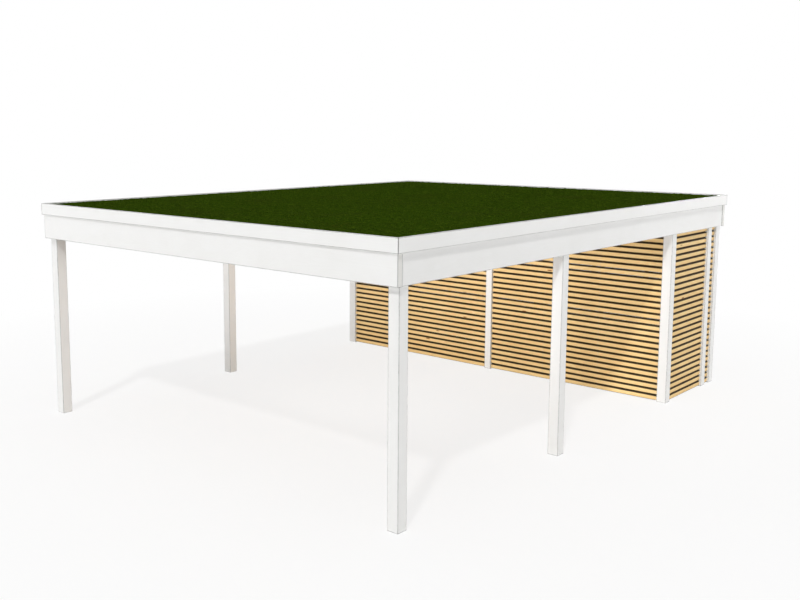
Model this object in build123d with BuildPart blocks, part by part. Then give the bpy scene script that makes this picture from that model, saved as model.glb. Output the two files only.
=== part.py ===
from build123d import *
import math
import os

# Flat-roofed timber carport for two cars, with a store room across the back.
# Millimetres, +Z up, the entrance faces -Y.
# The origin is on the ground, at the centre of the roof's outline.

# Driving sizes
width = 5400  # over the ends of the front beam
depth = 6900  # from the front beam's outer face to the back beam's
headroom = 2130  # ground to the underside of the beams
post_side = 120
stud_side = 100  # lighter posts in the middle of the store's long walls
post_inset = 30  # outer faces of the posts, behind the front beam's ends
arris = 3  # small bevel planed on the long edges of posts and beams

# Places along the depth
middle_post_at = 2710  # front beam's outer face to the middle posts
store_depth = 1540  # store's front posts to the back beam's outer face
narrow_bay = 135  # side posts to back posts, clear

# Beams and joists
beam_thick = 60
beam_height = 300
side_beam_inset = 10  # side beams stay this far behind the front beam's ends
joist_thick = 60
joist_height = 240
joist_spacing = 670  # widest step from one joist to the next
joist_clear = 40  # post to the joist beside it, room for a hanger's flange

# Joist hangers, bent from sheet
hanger_sheet = 2
hanger_height = 180
hanger_seat = 75
hanger_flange = 35

# Roof edge and layers, from the joists up
deck_thick = 22
kerb_thick = 60
kerb_height = 70
membrane_thick = 3
drainage_thick = 25
planting_thick = 15
cap_thick = 21
cap_rim = 3  # the cap board stands this far above the planting
cap_lap = 20  # the cap board hangs this far over the beam's joint with the deck

# Slatted walls. Slope and thickness are such that nobody can look down through the gaps.
slat_height = 56
slat_gap = 18.2
slat_thick = 28
slat_slope = 30  # degrees, long edges fall towards the outside
slat_recess = 21  # slats lie behind the outer faces of the posts
slat_foot = 8  # clear of the ground
slat_clearance = 3  # slat end to post
wall_clearance = 2  # top of a wall to what is above it
batten_side = 45
batten_spacing = 850  # widest step between the upright battens

# Levels
beam_top = headroom + beam_height
deck_top = beam_top + deck_thick
kerb_top = deck_top + kerb_height
membrane_top = deck_top + membrane_thick
drainage_top = membrane_top + drainage_thick
planting_foot = kerb_top + membrane_thick
planting_top = planting_foot + planting_thick
cap_foot = beam_top - cap_lap
joist_foot = beam_top - joist_height

# Faces and centre lines
right = width / 2
front = -depth / 2
back = depth / 2
post_face = right - post_inset
post_x = post_face - post_side / 2
post_inner = post_face - post_side
beam_face = right - side_beam_inset
beam_inner = beam_face - beam_thick
front_posts = front + beam_thick
middle_posts = front + middle_post_at
store_posts = back - store_depth
back_posts = back - beam_thick - post_side
side_posts = back_posts - narrow_bay - post_side
tray_width = width - 2 * kerb_thick - 2 * membrane_thick
tray_depth = depth - 2 * kerb_thick - 2 * membrane_thick

os.makedirs("parts", exist_ok=True)


def save(piece, label):
    piece.part.label = label
    export_step(piece.part, f"parts/{label}.step")


# Outer posts carry a side beam in a notch: its underside sits on the shoulder,
# and the tongue behind it runs up to the roof deck
def notched_post(side, front_face):
    centre = side * post_x
    with BuildPart() as post:
        with BuildSketch(Plane((centre, front_face + post_side / 2, 0))) as section:
            Rectangle(post_side, post_side)
            chamfer(section.vertices(), arris)
        extrude(amount=beam_top)
        with BuildSketch(Plane((side * right, front_face + post_side / 2, headroom))):
            Rectangle(2 * (right - beam_inner), post_side)
        extrude(amount=beam_height, mode=Mode.SUBTRACT)
    return post


# Mid-wall posts are plain
def stud(front_face, top):
    with BuildPart() as post:
        with BuildSketch(Plane((0, front_face + stud_side / 2, 0))) as section:
            Rectangle(stud_side, stud_side)
            chamfer(section.vertices(), arris)
        extrude(amount=top)
    return post


save(notched_post(-1, front_posts), "post_front_left")
save(notched_post(1, front_posts), "post_front_right")
save(notched_post(-1, middle_posts), "post_middle_left")
save(notched_post(1, middle_posts), "post_middle_right")
save(notched_post(-1, store_posts), "post_store_left")
save(notched_post(1, store_posts), "post_store_right")
save(notched_post(-1, side_posts), "post_side_left")
save(notched_post(1, side_posts), "post_side_right")
save(notched_post(-1, back_posts), "post_back_left")
save(notched_post(1, back_posts), "post_back_right")
save(stud(store_posts, headroom), "post_store_middle")
save(stud(back - beam_thick - stud_side, beam_top), "post_back_middle")


# Beams stand on edge and run along X or Y
def beam_along_x(near_face, length):
    with BuildPart() as beam:
        with BuildSketch(Plane.YZ.offset(-length / 2)) as section:
            with Locations((near_face + beam_thick / 2, headroom + beam_height / 2)):
                Rectangle(beam_thick, beam_height)
            chamfer(section.vertices(), arris)
        extrude(amount=length)
    return beam


def beam_along_y(side):
    centre = side * (beam_face - beam_thick / 2)
    with BuildPart() as beam:
        with BuildSketch(Plane.XZ.offset(-back + beam_thick)) as section:
            with Locations((centre, headroom + beam_height / 2)):
                Rectangle(beam_thick, beam_height)
            chamfer(section.vertices(), arris)
        extrude(amount=depth - 2 * beam_thick)
    return beam


save(beam_along_x(front, width), "beam_front")
save(beam_along_x(back - beam_thick, width), "beam_back")
save(beam_along_x(store_posts, 2 * post_inner), "beam_store")
save(beam_along_y(-1), "beam_left")
save(beam_along_y(1), "beam_right")


# Joists span between the side beams in hangers
def steps(start, end):
    bays = math.ceil((end - start) / joist_spacing)
    return [start + (end - start) * bay / bays for bay in range(bays)]


first_joist = front_posts + post_side + joist_clear
middle_joist = middle_posts + post_side + joist_clear
last_joist = side_posts - joist_clear - joist_thick
front_rows = steps(first_joist, middle_joist)
middle_rows = steps(middle_joist, store_posts)
store_rows = steps(store_posts + beam_thick, last_joist)[1:] + [last_joist]


def joists(rows):
    with BuildPart() as timbers:
        with BuildSketch(Plane.YZ.offset(-beam_inner)):
            with Locations(*[(row, joist_foot) for row in rows]):
                Rectangle(joist_thick, joist_height, align=Align.MIN)
        extrude(amount=2 * beam_inner)
    return timbers


# A hanger is a bent U under the joist's end, with a flange each side flat on the beam
def hangers(side):
    beam_side = Plane((side * beam_inner, 0, 0), x_dir=(0, 1, 0), z_dir=(1, 0, 0))
    rows = front_rows + middle_rows + store_rows
    seats = [(row + joist_thick / 2, joist_foot) for row in rows]
    stand = (Align.CENTER, Align.MIN)
    with BuildPart() as sheets:
        with BuildSketch(beam_side):
            with Locations(*seats):
                with Locations((0, -hanger_sheet)):
                    Rectangle(joist_thick + 2 * hanger_sheet, hanger_height, align=stand)
                Rectangle(joist_thick, hanger_height, align=stand, mode=Mode.SUBTRACT)
        extrude(amount=-side * hanger_seat)
        with BuildSketch(beam_side):
            with Locations(*seats):
                with Locations((0, -hanger_sheet)):
                    Rectangle(joist_thick + 2 * (hanger_sheet + hanger_flange), hanger_height, align=stand)
                Rectangle(joist_thick, hanger_height, align=stand, mode=Mode.SUBTRACT)
        extrude(amount=-side * hanger_sheet)
    return sheets


save(joists(front_rows), "joists_front")
save(joists(middle_rows), "joists_middle")
save(joists(store_rows), "joists_store")
save(hangers(-1), "hangers_left")
save(hangers(1), "hangers_right")

# The deck lies on the joists and beams, out to the faces of the front beam
with BuildPart() as deck:
    with BuildSketch(Plane.XY.offset(beam_top)):
        Rectangle(width, depth)
    extrude(amount=deck_thick)
save(deck, "roof_deck")


# Kerb timbers stand on the edge of the deck, the long ones between the short ones
def kerb(centre_x, centre_y, length_x, length_y):
    with BuildPart() as timber:
        with BuildSketch(Plane((centre_x, centre_y, deck_top))):
            Rectangle(length_x, length_y)
        extrude(amount=kerb_height)
    return timber


save(kerb(0, front + kerb_thick / 2, width, kerb_thick), "kerb_front")
save(kerb(0, back - kerb_thick / 2, width, kerb_thick), "kerb_back")
save(kerb(kerb_thick / 2 - right, 0, kerb_thick, depth - 2 * kerb_thick), "kerb_left")
save(kerb(right - kerb_thick / 2, 0, kerb_thick, depth - 2 * kerb_thick), "kerb_right")

# The membrane is a tray: flat on the deck, up the kerb and out over its top
with BuildPart() as membrane:
    with BuildSketch(Plane.XY.offset(deck_top)):
        Rectangle(width, depth)
    extrude(amount=kerb_height + membrane_thick)
    with BuildSketch(Plane.XY.offset(deck_top)):
        Rectangle(width, depth)
        Rectangle(width - 2 * kerb_thick, depth - 2 * kerb_thick, mode=Mode.SUBTRACT)
    extrude(amount=kerb_height, mode=Mode.SUBTRACT)
    with BuildSketch(Plane.XY.offset(membrane_top)):
        Rectangle(tray_width, tray_depth)
    extrude(amount=kerb_height, mode=Mode.SUBTRACT)
save(membrane, "roof_membrane")

with BuildPart() as drainage:
    with BuildSketch(Plane.XY.offset(membrane_top)):
        Rectangle(tray_width, tray_depth)
    extrude(amount=drainage_thick)
save(drainage, "drainage_mat")

# The substrate fills the tray to the top of the kerb
with BuildPart() as substrate:
    with BuildSketch(Plane.XY.offset(drainage_top)):
        Rectangle(tray_width, tray_depth)
    extrude(amount=planting_foot - drainage_top)
save(substrate, "substrate")

# The planted mat runs over the kerb to the back of the cap boards
with BuildPart() as planting:
    with BuildSketch(Plane.XY.offset(planting_foot)):
        Rectangle(width, depth)
    extrude(amount=planting_thick)
save(planting, "planting")


# Cap boards are mitred at the corners, drawn with local y pointing out of the roof
def cap(x_dir, reach, half_length):
    with BuildPart() as board:
        with BuildSketch(Plane((0, 0, cap_foot), x_dir=x_dir, z_dir=(0, 0, 1))):
            Polygon(
                (-half_length, reach),
                (half_length, reach),
                (half_length + cap_thick, reach + cap_thick),
                (-half_length - cap_thick, reach + cap_thick),
                align=None,
            )
        extrude(amount=planting_top + cap_rim - cap_foot)
        outward = Axis((0, 0, 0), Vector(x_dir).rotate(Axis.Z, 90))
        face = board.faces().sort_by(outward)[-1]
        chamfer(face.edges().filter_by(Axis.Z, reverse=True), arris)
    return board


save(cap((-1, 0, 0), -front, right), "cap_front")
save(cap((1, 0, 0), back, right), "cap_back")
save(cap((0, 1, 0), right, back), "cap_left")
save(cap((0, -1, 0), right, back), "cap_right")


# A wall bay is a run of slats screwed to upright battens, between two posts.
# The slats are rhombic: both long edges fall towards the outside, so they shed rain.
def slat_wall(corner, inward, along, length, top):
    pitch = slat_height + slat_gap
    rise = slat_thick * math.tan(math.radians(slat_slope))
    limit = top - wall_clearance
    full = math.floor((limit - slat_foot - slat_height - rise) / pitch) + 1
    last = slat_foot + full * pitch
    inner = slat_recess + slat_thick
    spaces = math.ceil((length - batten_side) / batten_spacing)
    reach = length - batten_side
    with BuildPart() as wall:
        with BuildSketch(Plane(corner, x_dir=inward, z_dir=along).offset(slat_clearance)):
            with Locations(*[(slat_recess, slat_foot + row * pitch) for row in range(full)]):
                Polygon(
                    (0, 0),
                    (0, slat_height),
                    (slat_thick, slat_height + rise),
                    (slat_thick, rise),
                    align=None,
                )
            if limit - last > rise:
                Polygon(
                    (slat_recess, last),
                    (slat_recess, limit),
                    (inner, limit),
                    (inner, last + rise),
                    align=None,
                )
        extrude(amount=length - 2 * slat_clearance)
        with BuildSketch(Plane(corner, x_dir=along, z_dir=(0, 0, 1)).offset(slat_foot)):
            with Locations(*[(reach * space / spaces, inner) for space in range(spaces + 1)]):
                Rectangle(batten_side, batten_side, align=Align.MIN)
        extrude(amount=limit - slat_foot)
    return wall


half_wall = post_inner - stud_side / 2
long_side = side_posts - store_posts - post_side
back_face = back - beam_thick

store_front = slat_wall((-post_inner, store_posts, 0), (0, 1, 0), (1, 0, 0), half_wall, headroom)
save(store_front, "wall_front_left")
store_front = slat_wall((stud_side / 2, store_posts, 0), (0, 1, 0), (1, 0, 0), half_wall, headroom)
save(store_front, "wall_front_right")
store_back = slat_wall((-stud_side / 2, back_face, 0), (0, -1, 0), (-1, 0, 0), half_wall, beam_top)
save(store_back, "wall_back_left")
store_back = slat_wall((post_inner, back_face, 0), (0, -1, 0), (-1, 0, 0), half_wall, beam_top)
save(store_back, "wall_back_right")

left_side = slat_wall((-post_face, side_posts, 0), (1, 0, 0), (0, -1, 0), long_side, headroom)
save(left_side, "wall_left_long")
left_side = slat_wall((-post_face, back_posts, 0), (1, 0, 0), (0, -1, 0), narrow_bay, headroom)
save(left_side, "wall_left_short")
right_side = slat_wall((post_face, store_posts + post_side, 0), (-1, 0, 0), (0, 1, 0), long_side, headroom)
save(right_side, "wall_right_long")
right_side = slat_wall((post_face, side_posts + post_side, 0), (-1, 0, 0), (0, 1, 0), narrow_bay, headroom)
save(right_side, "wall_right_short")
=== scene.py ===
# %% [markdown]
# # A timber carport with a planted roof
# White posts and beams carry a flat planted roof over two cars, and the back bay is a slatted store room.
# The measured model is loaded first, as a fixed frame. Blender then adds what a construction drawing
# leaves out: grain under the paint, single boards and slats, the heads of screws, and the plants.
# Everything is in metres, and sizes come from the frame wherever it knows them.

import math

import bmesh
import bpy
from mathutils import Matrix, Vector, noise


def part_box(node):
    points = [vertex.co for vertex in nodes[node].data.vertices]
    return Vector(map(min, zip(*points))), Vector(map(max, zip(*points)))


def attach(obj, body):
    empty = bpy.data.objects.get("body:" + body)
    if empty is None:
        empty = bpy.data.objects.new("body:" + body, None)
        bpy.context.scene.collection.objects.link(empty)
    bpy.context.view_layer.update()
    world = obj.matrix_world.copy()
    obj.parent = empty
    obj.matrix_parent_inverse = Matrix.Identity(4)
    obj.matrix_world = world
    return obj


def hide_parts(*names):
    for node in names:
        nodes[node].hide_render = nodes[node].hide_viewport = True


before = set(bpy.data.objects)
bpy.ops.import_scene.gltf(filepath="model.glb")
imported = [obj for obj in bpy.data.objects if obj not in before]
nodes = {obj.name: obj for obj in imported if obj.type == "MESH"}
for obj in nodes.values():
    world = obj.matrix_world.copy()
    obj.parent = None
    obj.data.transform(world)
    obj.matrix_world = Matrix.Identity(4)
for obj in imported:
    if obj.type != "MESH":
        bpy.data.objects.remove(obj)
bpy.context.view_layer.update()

# %% [markdown]
# ## Camera
# A view can be matched by eye, by dragging the camera about, or by solving for it. Straight timbers make
# solving easy: the edges of posts and beams fix the focal length, the tilt and the place. The optical axis
# doesn't pass through the middle of this picture, so the rest of its framing is a small lens shift.

# %% Camera
PICTURE_WIDTH, PICTURE_HEIGHT = 800, 600
FOCAL_PIXELS = 957.0
AXIS_PIXEL = (348.6, 259.1)
CAMERA_PLACE = (7.555, -9.402, 3.402)
CAMERA_TILT, CAMERA_TURN = 7.69, 42.18


def add_object(name, data):
    made = bpy.data.objects.new(name, data)
    bpy.context.collection.objects.link(made)
    return made


camera_data = bpy.data.cameras.new("camera")
camera_data.sensor_width = 36
camera_data.lens = FOCAL_PIXELS / PICTURE_WIDTH * camera_data.sensor_width
camera_data.shift_x = (PICTURE_WIDTH / 2 - AXIS_PIXEL[0]) / PICTURE_WIDTH
camera_data.shift_y = (AXIS_PIXEL[1] - PICTURE_HEIGHT / 2) / PICTURE_WIDTH
camera = add_object("camera", camera_data)
camera.location = CAMERA_PLACE
camera.rotation_euler = (math.radians(90 - CAMERA_TILT), 0, math.radians(CAMERA_TURN))
bpy.context.scene.camera = camera
print("lens:", round(camera_data.lens, 2))
print("shift:", round(camera_data.shift_x, 4), round(camera_data.shift_y, 4))

# %% [markdown]
# ## Node trees in writing
# Materials and Geometry Nodes are both node trees. They can be drawn in the editor, or written out. A
# written node stays on one line if a helper takes its inputs as a dictionary: a plain value in it is set,
# and a socket is linked.


# %% Helpers for node trees
def socket_called(sockets, name):
    """The socket of that number, or the one of that name that the node's settings switch on."""
    if isinstance(name, int):
        return sockets[name]
    return next(socket for socket in sockets if socket.enabled and socket.name == name)


def feed(tree, made, inputs):
    """Sets or links each of the inputs of a node."""
    for name, value in inputs.items():
        socket = socket_called(made.inputs, name)
        if isinstance(value, bpy.types.NodeSocket):
            tree.links.new(value, socket)
        else:
            socket.default_value = value


def put(tree, kind, inputs=None, **settings):
    """Adds a node with its settings and inputs, and returns its outputs."""
    made = tree.nodes.new(kind)
    for name, value in settings.items():
        setattr(made, name, value)
    feed(tree, made, inputs or {})
    return made.outputs


def maths(tree, operation, *values):
    return put(tree, "ShaderNodeMath", dict(enumerate(values)), operation=operation)[0]


def times(tree, first, second):
    return maths(tree, "MULTIPLY", first, second)


def vector_maths(tree, operation, *values):
    return put(tree, "ShaderNodeVectorMath", dict(enumerate(values)), operation=operation)[0]


def scaled(tree, direction, length):
    return put(tree, "ShaderNodeVectorMath", {"Vector": direction, "Scale": length}, operation="SCALE")[0]


def vector(tree, x=0.0, y=0.0, z=0.0):
    return put(tree, "ShaderNodeCombineXYZ", {0: x, 1: y, 2: z})[0]


def split(tree, source):
    return put(tree, "ShaderNodeSeparateXYZ", {0: source})


def spread(tree, value, low, high, to_low=0.0, to_high=1.0):
    """Maps the range low to high onto another, and clamps it there."""
    return put(tree, "ShaderNodeMapRange", {0: value, 1: low, 2: high, 3: to_low, 4: to_high})[0]


def soft_noise(tree, place, scale, detail, **more):
    inputs = {"Vector": place, "Scale": scale, "Detail": detail, **more}
    return put(tree, "ShaderNodeTexNoise", inputs)[0]


# %% [markdown]
# A node group is a tree of its own with named inputs and outputs. Its sockets belong to its interface, so
# they are made there, each with a type.

# %% Helper for node groups
SOCKET_TYPES = {
    "value": "NodeSocketFloat",
    "count": "NodeSocketInt",
    "vector": "NodeSocketVector",
    "geometry": "NodeSocketGeometry",
    "object": "NodeSocketObject",
    "material": "NodeSocketMaterial",
}


def numbers(*names):
    return dict.fromkeys(names, "value")


def new_group(name, kind, inputs, outputs):
    """Makes a group, and returns its tree, its inputs as sockets to read, and its output node."""
    tree = bpy.data.node_groups.new(name, kind)
    for side, sockets in (("INPUT", inputs), ("OUTPUT", outputs)):
        for label, socket in sockets.items():
            tree.interface.new_socket(label, in_out=side, socket_type=SOCKET_TYPES[socket])
    return tree, tree.nodes.new("NodeGroupInput").outputs, tree.nodes.new("NodeGroupOutput")


def shader_group(name, inputs, *outputs):
    return new_group(name, "ShaderNodeTree", inputs, numbers(*outputs))


def geometry_group(name, inputs, output):
    return new_group(name, "GeometryNodeTree", inputs, {output: "geometry"})


# %% [markdown]
# ## Timber grain, as a shared group
# Sawn softwood shows growth rings that darken slowly and then break off, fine fibres, and knots that push
# the rings aside. An image could show them, but at one size only, and its edge would show on a long beam.
# Noise drawn out along the timber gives all three without a seam. End grain is told by its normal: it drinks
# more coat and more dirt, so it is darker. It is a group, because every timber here needs it, each with
# values of its own. It expects X to run along the timber.

# %% Timber grain
LOG_SHIFT = (17.3, 5.1, 9.7)
KNOT_CELLS, RING_STRETCH, FIBRE_STRETCH = (1.3, 6.0, 6.0), (0.09, 1.0, 1.0), (0.03, 1.0, 1.0)
KNOT_REACH, KNOT_PUSH, KNOT_CORE = 0.45, 0.2, 0.6
FIBRE_SCALE = 260.0


def timber_grain():
    inputs = {"Vector": "vector", "Normal": "vector", **numbers("Log", "Rings", "Ring Scale", "Knot Size")}
    tree, given, result = shader_group("Timber grain", inputs, "Rings", "Fibre", "Knots", "Ends")
    place = vector_maths(tree, "ADD", given["Vector"], scaled(tree, LOG_SHIFT, given["Log"]))
    knot_place = vector_maths(tree, "MULTIPLY", place, KNOT_CELLS)
    knot_distance = put(tree, "ShaderNodeTexVoronoi", {"Vector": knot_place, "Scale": 1.0})["Distance"]
    near_knot = maths(tree, "POWER", spread(tree, knot_distance, KNOT_REACH, 0.0), 2.0)
    knot_core = times(tree, given["Knot Size"], KNOT_CORE)
    knots = spread(tree, knot_distance, given["Knot Size"], knot_core)
    ring_place = vector_maths(tree, "MULTIPLY", place, RING_STRETCH)
    growth = soft_noise(tree, ring_place, given["Ring Scale"], 2.0, Distortion=0.5)
    pushed = maths(tree, "MULTIPLY_ADD", near_knot, KNOT_PUSH, growth)
    rings = maths(tree, "FRACT", times(tree, pushed, given["Rings"]))
    fibre_place = vector_maths(tree, "MULTIPLY", place, FIBRE_STRETCH)
    fibre = soft_noise(tree, fibre_place, FIBRE_SCALE, 3.0, Roughness=0.6)
    facing = split(tree, given["Normal"])["X"]
    ends = spread(tree, maths(tree, "ABSOLUTE", facing), 0.7, 0.9)
    feed(tree, result, {"Rings": rings, "Fibre": fibre, "Knots": knots, "Ends": ends})
    return tree


TIMBER_GRAIN = timber_grain()
print("group:", TIMBER_GRAIN.name, len(TIMBER_GRAIN.nodes), "nodes")

# %% [markdown]
# ## Weather, as a shared group
# Outdoor surfaces are never one clean tone. Dust lies on them in soft clouds, and rain splashes the lowest
# hand's breadth. The group also marks the faces that look up. On the battens those stay wet longest, so they
# darken; on the slats they are the sloped tops that show in the gaps, and there the mask carries painted
# shade of the gaps. The group gives both masks, and each material decides what they do to its own colour and
# roughness.


# %% Weather
def weather():
    inputs = {"Vector": "vector", **numbers("Cloud Scale", "Splash Height")}
    tree, given, result = shader_group("Weather", inputs, "Dust", "Upward")
    clouds = soft_noise(tree, given["Vector"], given["Cloud Scale"], 5.0, Roughness=0.6)
    height = split(tree, given["Vector"])["Z"]
    splash = times(tree, spread(tree, height, given["Splash Height"], 0.0), clouds)
    dust = maths(tree, "MAXIMUM", spread(tree, clouds, 0.4, 0.75), splash)
    normal = put(tree, "ShaderNodeNewGeometry")["Normal"]
    facing = split(tree, normal)["Z"]
    feed(tree, result, {"Dust": dust, "Upward": spread(tree, facing, 0.3, 0.7)})
    return tree


WEATHER = weather()
print("group:", WEATHER.name, len(WEATHER.nodes), "nodes")

# %% [markdown]
# ## Worn edges and painted edge shade, as shared groups
# Paint is thinnest on an edge, so it wears off there first, and the bare wood goes grey. From a distance
# that fine line is what draws a white timber against a white sky. Edges could be painted by hand, or found
# by how sharp the mesh is at each vertex, but a plain beam has vertices only at its ends. The Bevel node
# needs none: it gives the normal of a rounded edge, and where that departs from the true normal, an edge is
# near.
# A slat gets painted shade along both long edges of its outer face: a dark band, ragged with the fibres,
# that widens the shadowed gaps between the slats. Where the edges are, the slat itself tells, in an
# attribute named share, whose Z goes from 0 to 1 up its outer face.

# %% Worn edges
FLAT, ON_EDGE = 0.998, 0.95
RAGGEDNESS, EDGE_SHADE_FADE = 0.05, 0.03


def worn_edges():
    tree, given, result = shader_group("Worn edges", numbers("Width", "Fibre"), "Wear")
    rounded = put(tree, "ShaderNodeBevel", {"Radius": given["Width"]}, samples=8)[0]
    true_normal = put(tree, "ShaderNodeNewGeometry")["True Normal"]
    both = {0: rounded, 1: true_normal}
    agreement = put(tree, "ShaderNodeVectorMath", both, operation="DOT_PRODUCT")["Value"]
    broken_up = spread(tree, given["Fibre"], 0.3, 0.6, 0.6, 1.0)
    wear = times(tree, spread(tree, agreement, FLAT, ON_EDGE), broken_up)
    feed(tree, result, {"Wear": wear})
    return tree


# Painted shade: a dark band along both long edges of a slat's outer face, which widens the shadow of the
# gaps.
def shaded_slat_edges():
    tree, given, result = shader_group("Painted edge shade", numbers("Width", "Fibre"), "Edge Shade")
    share = put(tree, "ShaderNodeAttribute", attribute_name="share")["Vector"]
    rise = split(tree, share)["Z"]
    from_middle = maths(tree, "ABSOLUTE", maths(tree, "SUBTRACT", rise, 0.5))
    ragged = maths(tree, "MULTIPLY_ADD", given["Fibre"], RAGGEDNESS, from_middle)
    start = maths(tree, "SUBTRACT", 0.5, given["Width"])
    edge_shade = spread(tree, ragged, start, maths(tree, "ADD", start, EDGE_SHADE_FADE))
    feed(tree, result, {"Edge Shade": edge_shade})
    return tree


WORN_EDGES, SHADED_SLAT_EDGES = worn_edges(), shaded_slat_edges()
print("groups:", WORN_EDGES.name, "and", SHADED_SLAT_EDGES.name)

# %% [markdown]
# ## Starting a material
# Every material starts the same way: the Principled shader, and the object's own coordinates to hang
# patterns on. All pieces stand at the origin unturned, so those coordinates are places on the carport in
# metres. For timber, the axes are swapped so that X runs along the piece. Colours lie over each other in
# layers, as they do on real wood, and each layer has a mask.


# %% Helpers for materials
def start_material(name):
    material = bpy.data.materials.new(name)
    material.use_nodes = True
    tree = material.node_tree
    return material, tree, tree.nodes["Principled BSDF"], put(tree, "ShaderNodeTexCoord")["Object"]


def along_x(tree, place, axis):
    """Place and normal with their axes swapped in turn, so that the timber's own direction becomes X."""
    order = {"X": "XYZ", "Y": "YZX", "Z": "ZXY"}[axis]
    swapped = {}
    for name, source in (("Vector", place), ("Normal", put(tree, "ShaderNodeNewGeometry")["Normal"])):
        parts = split(tree, source)
        swapped[name] = vector(tree, *[parts[letter] for letter in order])
    return swapped


def blend(tree, factor, first, second):
    """Mixes two colours, each one either a socket or three numbers."""
    first, second = [c if isinstance(c, bpy.types.NodeSocket) else (*c, 1) for c in (first, second)]
    return put(tree, "ShaderNodeMix", {0: factor, 6: first, 7: second}, data_type="RGBA")[2]


def tinted(tree, colour, *layers):
    """Lays colours over the first one in turn, each given as its mask, its greatest share and itself."""
    for mask, share, over in layers:
        colour = blend(tree, times(tree, mask, share), colour, over)
    return colour


def use(tree, group, inputs):
    made = tree.nodes.new(group.bl_idname.replace("Tree", "Group"))
    made.node_tree = group
    feed(tree, made, inputs)
    return made.outputs


def raise_surface(tree, shader, height, distance):
    """A bump of the given real height."""
    normal = put(tree, "ShaderNodeBump", {"Height": height, "Distance": distance})["Normal"]
    feed(tree, shader, {"Normal": normal})


# %% [markdown]
# ## White coat on planed spruce
# Posts, beams and cap boards have an opaque white coat. Thin paint on softwood isn't smooth: the rings stand
# up a little and the brush leaves streaks. A flat white would lose that, and a strong pattern would look
# like bare wood, so the grain is mostly in the bump and hardly in the colour.

# %% White coat
WHITE = (0.88, 0.88, 0.87)
WHITE_AGED = (0.70, 0.69, 0.64)
WORN_THROUGH = (0.09, 0.085, 0.078)
WORN_WIDTH = 0.009
BRUSH_RELIEF = 0.0002


def white_coat(axis):
    material, tree, shader, place = start_material("white_coat_" + axis.lower())
    lie = along_x(tree, place, axis)
    grain = use(tree, TIMBER_GRAIN, {**lie, "Rings": 24.0, "Ring Scale": 5.0, "Knot Size": 0.07})
    masks = use(tree, WEATHER, {"Vector": place, "Cloud Scale": 1.6, "Splash Height": 0.25})
    edges = use(tree, WORN_EDGES, {"Width": WORN_WIDTH, "Fibre": grain["Fibre"]})
    colour = tinted(
        tree,
        WHITE,
        (grain["Rings"], 0.06, WHITE_AGED),
        (masks["Dust"], 0.14, WHITE_AGED),
        (grain["Ends"], 0.5, WHITE_AGED),
        (edges["Wear"], 1.0, WORN_THROUGH),
    )
    rough = spread(tree, grain["Fibre"], 0.3, 0.7, 0.36, 0.52)
    feed(tree, shader, {"Base Color": colour, "Roughness": rough, "Specular IOR Level": 0.3})
    relief = maths(tree, "MULTIPLY_ADD", grain["Fibre"], 0.6, grain["Rings"])
    raise_surface(tree, shader, maths(tree, "MULTIPLY_ADD", grain["Knots"], 1.5, relief), BRUSH_RELIEF)
    return material


WHITE_COAT = {axis: white_coat(axis) for axis in "XYZ"}
print("materials:", [material.name for material in WHITE_COAT.values()])

# %% [markdown]
# ## Bare timber
# Two timbers have no coat: the yellow larch of the slats, and the paler spruce of battens, joists, kerbs and
# deck. They differ in colour, in the size of their knots and in how coarsely they were sawn, so one function
# makes both from a few values. Each board has a number from 0 to 1 in an attribute named tone. It moves the
# colour a little, and sends each board to another place in the log, so that no two boards match. Only the
# slats have the painted edge shade. On them, the faces that look up and the bands along the long edges are
# painted nearly black: painted shade that stands for the shadowed gaps between the slats. The battens darken
# at half that share where they face up, as wet wood does.

# %% Bare timber
LARCH = {
    "early": (0.98, 0.75, 0.38),
    "late": (0.92, 0.64, 0.29),
    "deep": (0.82, 0.52, 0.20),
    "knot": (0.34, 0.14, 0.04),
}
SPRUCE = {
    "early": (0.80, 0.62, 0.40),
    "late": (0.64, 0.42, 0.22),
    "deep": (0.56, 0.36, 0.18),
    "knot": (0.22, 0.10, 0.04),
}
# Nearly black: on the slats, painted shade of the gaps between them; on the battens, wet darkening of faces
# that look up.
WET_AND_GAP_SHADE = (0.016, 0.010, 0.006)
# Width of the painted shade bands along the slats' edges.
EDGE_SHADE_WIDTH = 0.10


def bare_timber(name, axis, colours, knot_size, roughness, saw_depth, wet_and_shade_share=0.0, is_slat=False):
    material, tree, shader, place = start_material(name)
    tone = put(tree, "ShaderNodeAttribute", attribute_name="tone")["Fac"]
    lie = {**along_x(tree, place, axis), "Log": tone}
    grain = use(tree, TIMBER_GRAIN, {**lie, "Rings": 22.0, "Ring Scale": 6.0, "Knot Size": knot_size})
    masks = use(tree, WEATHER, {"Vector": place, "Cloud Scale": 2.3, "Splash Height": 0.3})
    # On the slats this is painted shade: their tops that look up and the bands along their edges show in the
    # gaps.
    wet_and_shade = masks["Upward"]
    if is_slat:
        edges = use(tree, SHADED_SLAT_EDGES, {"Width": EDGE_SHADE_WIDTH, "Fibre": grain["Fibre"]})
        wet_and_shade = maths(tree, "MAXIMUM", wet_and_shade, edges["Edge Shade"])
    colour = tinted(
        tree,
        colours["early"],
        (grain["Rings"], 1.0, colours["late"]),
        (spread(tree, grain["Fibre"], 0.4, 0.8), 0.45, colours["deep"]),
        (tone, 0.35, colours["deep"]),
        (masks["Dust"], 0.12, colours["deep"]),
        (grain["Knots"], 1.0, colours["knot"]),
        (grain["Ends"], 0.6, colours["deep"]),
        (wet_and_shade, wet_and_shade_share, WET_AND_GAP_SHADE),
    )
    rough = spread(tree, grain["Fibre"], 0.3, 0.7, roughness - 0.08, roughness + 0.08)
    feed(tree, shader, {"Base Color": colour, "Roughness": rough, "Specular IOR Level": 0.15})
    raise_surface(tree, shader, maths(tree, "MULTIPLY_ADD", grain["Fibre"], 1.2, grain["Rings"]), saw_depth)
    return material


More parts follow.
